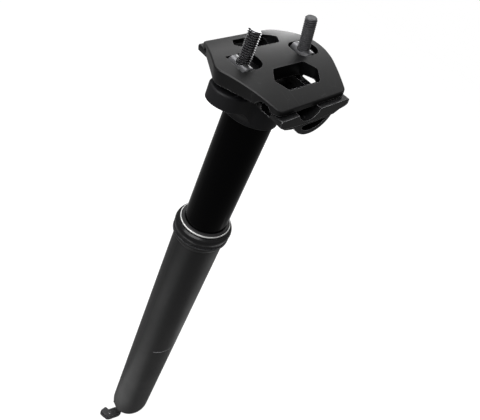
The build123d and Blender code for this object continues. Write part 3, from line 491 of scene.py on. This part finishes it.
def makeFinish(name):
    finish = {**plainFinish, **finishes[name]}
    material = bpy.data.materials.new(name)
    material.use_nodes = True
    tree = material.node_tree
    shader = tree.nodes["Principled BSDF"]
    shader.location = (700, 0)
    place = addNode(tree, "ShaderNodeTexCoord", -1100, 0).outputs["Object"]

    grain = addNode(tree, "ShaderNodeGroup", -800, 300, node_tree=effects["fineGrain"])
    wire(tree, place, grain.inputs["Vector"])
    grain.inputs["Drift scale"].default_value = finish["driftScale"]
    grain.inputs["Grain scale"].default_value = finish["grainScale"]
    grain.inputs["Stretch"].default_value = finish["grainStretch"]
    handled = addNode(tree, "ShaderNodeGroup", -800, 0, node_tree=effects["handling"])
    wire(tree, place, handled.inputs["Vector"])
    handled.inputs["Smudge scale"].default_value = finish["smudgeScale"]
    handled.inputs["Scratch scale"].default_value = finish["scratchScale"]

    # colour: the coat drifts a little, scratches and rubbed edges show what is under it, and on the plate,
    # cradle, bolts and nuts the edge colour is a painted highlight
    low = tuple(c * (1 - finish["drift"]) for c in finish["colour"]) + (1.0,)
    high = tuple(c * (1 + finish["drift"]) for c in finish["colour"]) + (1.0,)
    drifting = addNode(tree, "ShaderNodeMix", -500, 300, data_type="RGBA")
    wire(tree, grain.outputs["Drift"], drifting.inputs["Factor"])
    drifting.inputs["A"].default_value = low
    drifting.inputs["B"].default_value = high
    colour = drifting.outputs["Result"]
    if finish["rubAndGlintCover"]:
        scratched = mathNode(tree, "MULTIPLY", -500, 0, handled.outputs["Scratch"], finish["scratch"])
        rubAndGlint = addNode(tree, "ShaderNodeGroup", -800, -300, node_tree=effects["edgeRubAndGlint"])
        wire(tree, place, rubAndGlint.inputs["Vector"])
        rubAndGlint.inputs["Width"].default_value = finish["rubAndGlintWidth"]
        rubAndGlint.inputs["Cover"].default_value = finish["rubAndGlintCover"]
        shown = mathNode(tree, "MAXIMUM", -320, -100, scratched, rubAndGlint.outputs["Mask"])
        wornAndGlinting = addNode(tree, "ShaderNodeMix", -120, 300, data_type="RGBA")
        wire(tree, shown, wornAndGlinting.inputs["Factor"])
        wire(tree, colour, wornAndGlinting.inputs["A"])
        wornAndGlinting.inputs["B"].default_value = finish["rubAndGlintColour"] + (1.0,)
        colour = wornAndGlinting.outputs["Result"]
    wire(tree, colour, shader.inputs["Base Color"])

    # roughness: the drift of the coat, and smudges left by hands
    rough = mathNode(tree, "MULTIPLY_ADD", -320, -300, grain.outputs["Drift"], finish["roughDrift"])
    rough.node.inputs[2].default_value = finish["rough"] - finish["roughDrift"] / 2
    smudged = mathNode(tree, "MULTIPLY_ADD", -120, -300, handled.outputs["Smudge"], finish["smudge"],
                       clamp=True)
    wire(tree, rough, smudged.node.inputs[2])
    wire(tree, smudged, shader.inputs["Roughness"])

    # bump: the grain of the coat, and turned rings where the piece came off a lathe
    bump = addNode(tree, "ShaderNodeBump", 300, -400)
    bump.inputs["Strength"].default_value = 1.0
    bump.inputs["Distance"].default_value = finish["grainHeight"]
    wire(tree, grain.outputs["Grain"], bump.inputs["Height"])
    if finish["lines"]:
        rings = addNode(tree, "ShaderNodeGroup", -800, -600, node_tree=effects["turnedLines"])
        wire(tree, place, rings.inputs["Vector"])
        rings.inputs["Lines per metre"].default_value = finish["lines"]
        under = addNode(tree, "ShaderNodeBump", 50, -600)
        under.inputs["Strength"].default_value = 1.0
        under.inputs["Distance"].default_value = finish["linesHeight"]
        wire(tree, rings.outputs["Height"], under.inputs["Height"])
        wire(tree, under.outputs["Normal"], bump.inputs["Normal"])
    wire(tree, bump.outputs["Normal"], shader.inputs["Normal"])

    shader.inputs["Metallic"].default_value = finish["metal"]
    shader.inputs["Specular IOR Level"].default_value = finish["specular"]
    return material


materials = {name: makeFinish(name) for name in finishes}


def wear(piece, name):
    if not piece.material_slots:
        piece.data.materials.append(materials[name])
    for slot in piece.material_slots:
        slot.link = "OBJECT"
        slot.material = materials[name]


for finishName, wearers in wornOn.items():
    for wearer in wearers:
        wear(nodes[wearer], finishName)
unfinished = sorted(set(nodes) - {n for wearers in wornOn.values() for n in wearers})
print(f"solids with no finish: {unfinished}" if unfinished else "materials on every solid")


# Clamp bolts with real threads, in place of the plain ones

bolts = {
    "radius": 3.0,
    "sides": 48,
    "headRadius": 5.0,
    "headHeight": 6.0,
    "headSides": 72,
    "headBevel": 0.45,
    "headBevelSteps": 2,
    "headBase": 0.9,           # share of the height below which an edge is the head's lower rim
    "knurlDepth": 0.12,
    "flat": 2.0,               # the head's bearing face above the swing's foot
    "sunk": 0.3,               # share of the head that the shank reaches into
    "tipBevel": 0.6,
    "tipTop": 0.99,            # share of the length above which an edge is the tip's rim
    "socketFlats": 5.0,
    "socketDepth": 3.2,
    "socketFloor": 0.9,        # share of the depth beyond which a face is the socket's floor
    "socketInset": 0.45,
    "socketPoint": 0.2,
    "pitch": 1.0,
    "threadDepth": 0.541,
    "rootFlat": 0.25,
    "flankSlope": 0.577,
    "overcut": 0.08,
    "threadSteps": 32,
    "turnsPastTip": 2,
    "cutterWeld": 0.001,
    "weld": 0.002,
}

boltPlaces = {
    "frontBolt": {"node": "front_bolt", "body": "front_screw", "foot": (16.956, 0, 98.5), "lean": 0.0,
                  "length": 32.2, "thread": 21, "finish": "blackZinc"},
    "rearBolt": {"node": "rear_bolt", "body": "rear_screw", "foot": (-26.119, 0, 98.5), "lean": 16.15,
                 "length": 44.0, "thread": 24, "finish": "dustyZinc"},
}


def makeThreadCutter(length, turns):
    # one flat-bottomed vee, wound up the shank and past its tip
    root = (bolts["radius"] - bolts["threadDepth"]) * mm
    rim = (bolts["radius"] + bolts["overcut"]) * mm
    halfRoot = bolts["rootFlat"] / 2 * mm
    halfRim = halfRoot + (rim - root) * bolts["flankSlope"]
    start = (length - turns * bolts["pitch"]) * mm
    bpy.ops.mesh.primitive_plane_add(size=1.0)
    cutter = nameIt("threadCutter")
    profile = [(root, -halfRoot), (root, halfRoot), (rim, halfRim), (rim, -halfRim)]
    order = [0, 1, 3, 2]
    for i, (x, z) in zip(order, profile):
        cutter.data.vertices[i].co = (x, 0, start + z)
    screw = cutter.modifiers.new("wind", "SCREW")
    screw.axis = "Z"
    screw.angle = math.tau
    screw.screw_offset = bolts["pitch"] * mm
    screw.iterations = turns + bolts["turnsPastTip"]
    screw.steps = bolts["threadSteps"]
    screw.render_steps = bolts["threadSteps"]
    applyModifiers(cutter)
    selectWhere(cutter, "vertices", lambda v: True)
    bpy.ops.mesh.remove_doubles(threshold=bolts["cutterWeld"] * mm)
    bpy.ops.mesh.select_all(action="SELECT")
    bpy.ops.mesh.fill_holes(sides=4)
    bpy.ops.mesh.select_all(action="SELECT")
    bpy.ops.mesh.normals_make_consistent(inside=False)
    objectMode()
    return cutter


def makeBoltHead():
    radius, height = bolts["headRadius"] * mm, bolts["headHeight"] * mm
    head = makeCylinder("boltHead", bolts["headSides"], radius, height, (0, 0, -height / 2))

    # every other upright edge is drawn in for the knurl
    step = math.tau / bolts["headSides"]

    def everyOther(v):
        return round(math.atan2(v.co.x, v.co.y) / step) % 2 == 0
    selectWhere(head, "vertices", everyOther)
    inner = 1 - bolts["knurlDepth"] * mm / radius
    bpy.ops.transform.resize(value=(inner, inner, 1), center_override=(0, 0, 0))
    objectMode()
    base = -height * bolts["headBase"]
    bevelEdges(head, lambda e: all(p.z < base for p in edgePoints(head, e)),
               bolts["headBevel"], bolts["headBevelSteps"])

    # the hexagon's corners lie on this circle, and its floor is drawn to a blunt point
    circle = bolts["socketFlats"] / math.sqrt(3) * mm
    depth = bolts["socketDepth"] * mm
    socket = makeCylinder("socketCutter", 6, circle, depth * 2, (0, 0, -height))
    floorFrom = -height + depth * bolts["socketFloor"]
    selectWhere(socket, "polygons", lambda p: p.center.z > floorFrom)
    bpy.ops.mesh.inset(thickness=circle * bolts["socketInset"], depth=circle * bolts["socketPoint"])
    objectMode()
    cutWith(head, socket)
    return head


def boltFrame(place):
    # from upright on the origin to the bolt's place in the clamp
    return (Matrix.Translation(Vector(place["foot"]) * mm)
            @ Matrix.Rotation(math.radians(place["lean"]), 4, "Y")
            @ Matrix.Translation((0, 0, bolts["flat"] * mm)))


def makeBolt(name, place):
    head = makeBoltHead()
    length = place["length"]
    sunk = bolts["headHeight"] * bolts["sunk"]
    shank = makeCylinder("boltShank", bolts["sides"], bolts["radius"] * mm, (length + sunk) * mm,
                         (0, 0, (length - sunk) / 2 * mm))
    tip = length * mm * bolts["tipTop"]
    bevelEdges(shank, lambda e: all(p.z > tip for p in edgePoints(shank, e)), bolts["tipBevel"], 1)
    cutWith(shank, makeThreadCutter(length, place["thread"]))
    union = head.modifiers.new("join", "BOOLEAN")
    union.operation = "UNION"
    union.solver = "EXACT"
    union.object = shank
    applyModifiers(head)
    bpy.data.objects.remove(shank, do_unlink=True)
    pick(head)
    bolt = nameIt(name)
    mergeAndTurnOut(bolt, bolts["weld"] * mm)
    settle(bolt, boltFrame(place))
    smooth(bolt)
    wear(bolt, place["finish"])
    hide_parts(place["node"])
    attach(bolt, place["body"])


for boltName, boltPlace in boltPlaces.items():
    makeBolt(boltName, boltPlace)
print("bolts threaded")


# Dried locking compound that fills most of the rear bolt's thread

compound = {
    "radius": 2.86,
    "from": 27.0,
    "to": 39.5,
    "sides": 48,
    "bevel": 0.3,
    "bevelSteps": 2,
    "reach": 0.01,             # how near to an end an edge counts as its rim
}


def makeCompound():
    tall = compound["to"] - compound["from"]
    film = makeCylinder("lockingCompound", compound["sides"], compound["radius"] * mm, tall * mm,
                        (0, 0, (compound["from"] + tall / 2) * mm))
    ends = (compound["from"] * mm, compound["to"] * mm)

    def onRim(edge):
        first, second = (p.z for p in edgePoints(film, edge))
        return first == second and min(abs(first - end) for end in ends) < compound["reach"] * mm
    bevelEdges(film, onRim, compound["bevel"], compound["bevelSteps"])
    place = boltPlaces["rearBolt"]
    settle(film, boltFrame(place))
    smooth(film)
    wear(film, "dustyZinc")
    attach(film, place["body"])


makeCompound()
print("locking compound made")


# Dark rubber sleeve in the stop arm's cable hole, painted shade that keeps the hole dark where it would
# show the floor

shadeSleeve = {
    "place": (16.0, -3.5),
    "top": -260.1,
    "bottom": -261.3,
    "radius": 1.2,
    "bore": 0.42,
    "sides": 40,
    "bevel": 0.15,
    "bevelSteps": 2,
    "reach": 0.01,
}


def makeShadeSleeve():
    x, y = shadeSleeve["place"]
    tall = shadeSleeve["top"] - shadeSleeve["bottom"]
    middle = (x * mm, y * mm, (shadeSleeve["bottom"] + tall / 2) * mm)
    sleeve = makeCylinder("holeShadeSleeve", shadeSleeve["sides"], shadeSleeve["radius"] * mm, tall * mm, middle)
    bore = makeCylinder("boreCutter", shadeSleeve["sides"], shadeSleeve["bore"] * mm, tall * 2 * mm, middle)
    cutWith(sleeve, bore)
    rim = (shadeSleeve["top"] - shadeSleeve["reach"]) * mm
    bevelEdges(sleeve, lambda e: all(p.z > rim for p in edgePoints(sleeve, e)),
               shadeSleeve["bevel"], shadeSleeve["bevelSteps"])
    smooth(sleeve)
    # the dark rubber here is painted shade inside the hole
    wear(sleeve, "sealRubber")
    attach(sleeve, "arm")


makeShadeSleeve()
print("cable liner made")


# Height marks and the insertion line, printed on the tube

marks = {
    "radius": 15.84,
    "thickness": 0.14,
    "sides": 240,
    "pitch": 5.0,
    "first": -6.3,
    "count": 23,
    "longArc": 5.4,
    "shortArc": 2.6,
    "height": 0.6,
    "heading": 222.0,            # the side away from the camera
    "lineLevel": -120.3,
    "lineHeight": 0.45,
    "lineFrom": 50.0,
    "lineTo": 196.0,
}


def makeStrip(name, level, height, start, end):
    # part of a thin ring: a short cylinder wall, cut to its arc and thickened inwards
    strip = makeCylinder(name, marks["sides"], marks["radius"] * mm, height * mm, (0, 0, level * mm),
                         end_fill_type="NOTHING")
    middle, half = math.radians((start + end) / 2), math.radians((end - start) / 2)
    toMiddle = Vector((math.cos(middle), math.sin(middle)))

    def outside(polygon):
        return polygon.center.to_2d().normalized().dot(toMiddle) < math.cos(half)
    selectWhere(strip, "polygons", outside)
    bpy.ops.mesh.delete(type="FACE")
    objectMode()
    wall = strip.modifiers.new("wall", "SOLIDIFY")
    wall.thickness = marks["thickness"] * mm
    wall.offset = -1.0
    applyModifiers(strip)
    smooth(strip)
    return strip


def makeTicks():
    ticks = []
    for kind, arc in enumerate((marks["longArc"], marks["shortArc"])):
        half = math.degrees(arc / marks["radius"]) / 2
        level = marks["first"] - kind * marks["pitch"]
        model = makeStrip("tick", level, marks["height"],
                          marks["heading"] - half, marks["heading"] + half)
        ticks.append(model)
        for i in range(kind + 2, marks["count"], 2):
            twin = copyOf(model, "tick")
            twin.data.transform(Matrix.Translation((0, 0, -(i - kind) * marks["pitch"] * mm)))
            ticks.append(twin)
    rule = joinAll(ticks, "heightMarks")
    wear(rule, "markWhite")
    return rule


insertionLine = makeStrip("insertionLine", marks["lineLevel"], marks["lineHeight"],
                          marks["lineFrom"], marks["lineTo"])
wear(insertionLine, "markGrey")
for mark in (makeTicks(), insertionLine):
    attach(mark, "outer")
print("marks printed")


# Floor, backdrop and lamps

stage = {
    "level": -266.7,
    "size": 6.0,
    "floorColour": (0.12, 0.12, 0.12),
    "floorRough": 0.9,
    "floorSpecular": 0.1,
    "floorGlow": 0.92,            # what the camera sees on top of the floor's own light
    "sky": 0.2,
    "inReflections": 0.14,        # share of the white background that gloss and metal show
    "sun": {"place": (0.4, 0.1, 1.5), "aim": (0, 0, 0), "strength": 1.3, "spread": 35.0},
    "lamps": {
        "leftBox": {"place": (0.55, 0.02, 0.42), "aim": (0, 0, 0.02), "size": (0.5, 0.5), "power": 5.0},
        "nearCard": {"place": (0.06, 0.004, -0.2662), "aim": (0.06, 0.004, 1.0),
                     "size": (0.06, 0.08), "power": 0.011},
        "leftCard": {"place": (0.19, 0.010, -0.2662), "aim": (0.19, 0.010, 1.0),
                     "size": (0.06, 0.18), "power": 0.06},
        "rightCard": {"place": (-0.19, 0.10, -0.2662), "aim": (-0.19, 0.10, 1.0),
                      "size": (0.2, 0.2), "power": 0.05},
        "behind": {"place": (-0.55, -0.45, 0.0), "aim": (0, 0, -0.06), "size": (0.3, 0.8), "power": 4.0},
        "sideBox": {"place": (0.10, -0.50, 1.0), "aim": (0, 0, 0.13), "size": (0.5, 0.6), "power": 4.5},
        "backBox": {"place": (-0.62, -0.50, 1.0), "aim": (0, 0, 0.13), "size": (1.5, 1.5), "power": 6.5},
    },
}


def backgroundRays(tree):
    # 1 for what the camera sees, less for what gloss, metal and glass show of it
    rays = addNode(tree, "ShaderNodeLightPath", -900, -200)
    bounced = mathNode(tree, "ADD", -700, -300, rays.outputs["Is Glossy Ray"],
                       rays.outputs["Is Transmission Ray"], clamp=True)
    seen = mathNode(tree, "MULTIPLY_ADD", -500, -200, bounced, stage["inReflections"], clamp=True)
    wire(tree, rays.outputs["Is Camera Ray"], seen.node.inputs[2])
    return seen


def makeFloor():
    bpy.ops.mesh.primitive_plane_add(size=stage["size"], location=(0, 0, stage["level"] * mm))
    floor = nameIt("floor")
    settle(floor)
    paint = bpy.data.materials.new("floorPaint")
    paint.use_nodes = True
    tree = paint.node_tree
    shader = tree.nodes["Principled BSDF"]
    shader.inputs["Base Color"].default_value = stage["floorColour"] + (1.0,)
    shader.inputs["Roughness"].default_value = stage["floorRough"]
    shader.inputs["Specular IOR Level"].default_value = stage["floorSpecular"]
    glow = mathNode(tree, "MULTIPLY", -250, -200, backgroundRays(tree), stage["floorGlow"])
    shader.inputs["Emission Color"].default_value = (1.0, 1.0, 1.0, 1.0)
    wire(tree, glow, shader.inputs["Emission Strength"])
    floor.data.materials.append(paint)


def makeSky():
    world = bpy.data.worlds.new("studio")
    bpy.context.scene.world = world
    world.use_nodes = True
    tree = world.node_tree
    background = tree.nodes["Background"]
    strength = mathNode(tree, "MULTIPLY_ADD", -300, 0, backgroundRays(tree), 1.0 - stage["sky"])
    strength.node.inputs[2].default_value = stage["sky"]
    background.inputs["Color"].default_value = (1.0, 1.0, 1.0, 1.0)
    wire(tree, strength, background.inputs["Strength"])


def addLamp(name, kind, lamp):
    bpy.ops.object.light_add(type=kind, location=lamp["place"])
    light = bpy.context.object
    light.name = name
    aim = Vector(lamp["aim"]) - Vector(lamp["place"])
    light.rotation_euler = aim.to_track_quat("-Z", "Y").to_euler()
    return light.data


def makeLamps():
    sun = addLamp("sun", "SUN", stage["sun"])
    sun.energy = stage["sun"]["strength"]
    sun.angle = math.radians(stage["sun"]["spread"])
    for name, lamp in stage["lamps"].items():
        panel = addLamp(name, "AREA", lamp)
        panel.shape = "RECTANGLE"
        panel.size, panel.size_y = lamp["size"]
        panel.energy = lamp["power"]
        bpy.context.object.visible_camera = False


makeFloor()
makeSky()
makeLamps()
bpy.context.scene.view_settings.view_transform = "Standard"
print("floor, backdrop and lamps set")
